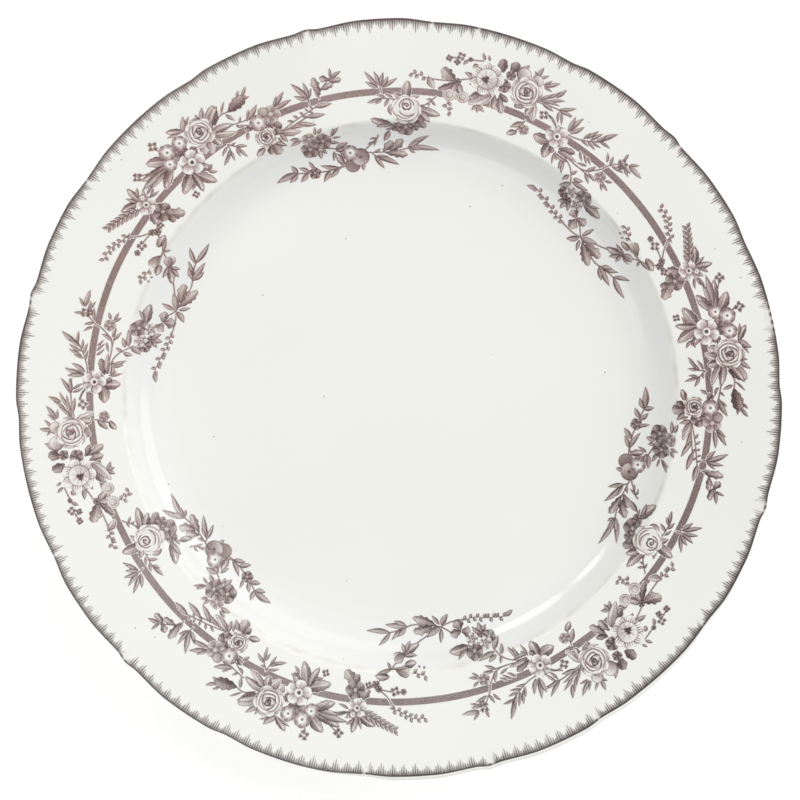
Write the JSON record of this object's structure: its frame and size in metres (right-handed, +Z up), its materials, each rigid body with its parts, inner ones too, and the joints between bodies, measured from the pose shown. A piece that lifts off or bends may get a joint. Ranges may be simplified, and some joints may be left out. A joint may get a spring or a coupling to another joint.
{
  "type": "dinner plate",
  "caption": "Round china dinner plate with a wavy moulded edge, a broad sloping rim, a shallow well on a foot ring, and printed flower sprays in brown ink.",
  "frame": {"origin": "centre of the foot ring, on the plane the plate stands on", "axes": "+Z up, along the plate's axis from the foot ring to the open side"},
  "size_m": [0.2606, 0.2606, 0.0269],
  "materials": {
    "body_glaze": "glossy off-white lead glaze",
    "band_ink": "mauve-brown print under the glaze",
    "edge_ink": "mauve-brown print under the glaze",
    "spray_ink": "mauve-brown print under the glaze"
  },
  "bodies": {
    "root": {"plate_body": "body_glaze", "band_print": "band_ink", "feather_edge_print": "edge_ink", "rose_bouquet_1": "spray_ink", "trailing_spray_1": "spray_ink", "double_spray_1": "spray_ink", "daffodil_bouquet_1": "spray_ink", "small_sprig_1": "spray_ink", "peony_spray_1": "spray_ink", "fan_sprig_1": "spray_ink", "bud_sprig_1": "spray_ink", "corner_spray_1": "spray_ink", "berry_spray_1": "spray_ink", "rose_bouquet_2": "spray_ink", "trailing_spray_2": "spray_ink", "double_spray_2": "spray_ink", "daffodil_bouquet_2": "spray_ink", "small_sprig_2": "spray_ink", "peony_spray_2": "spray_ink", "fan_sprig_2": "spray_ink", "bud_sprig_2": "spray_ink", "corner_spray_2": "spray_ink", "berry_spray_2": "spray_ink", "rose_bouquet_3": "spray_ink", "trailing_spray_3": "spray_ink", "double_spray_3": "spray_ink", "daffodil_bouquet_3": "spray_ink", "small_sprig_3": "spray_ink", "peony_spray_3": "spray_ink", "fan_sprig_3": "spray_ink", "bud_sprig_3": "spray_ink", "corner_spray_3": "spray_ink", "berry_spray_3": "spray_ink"}
  },
  "joints": []
}
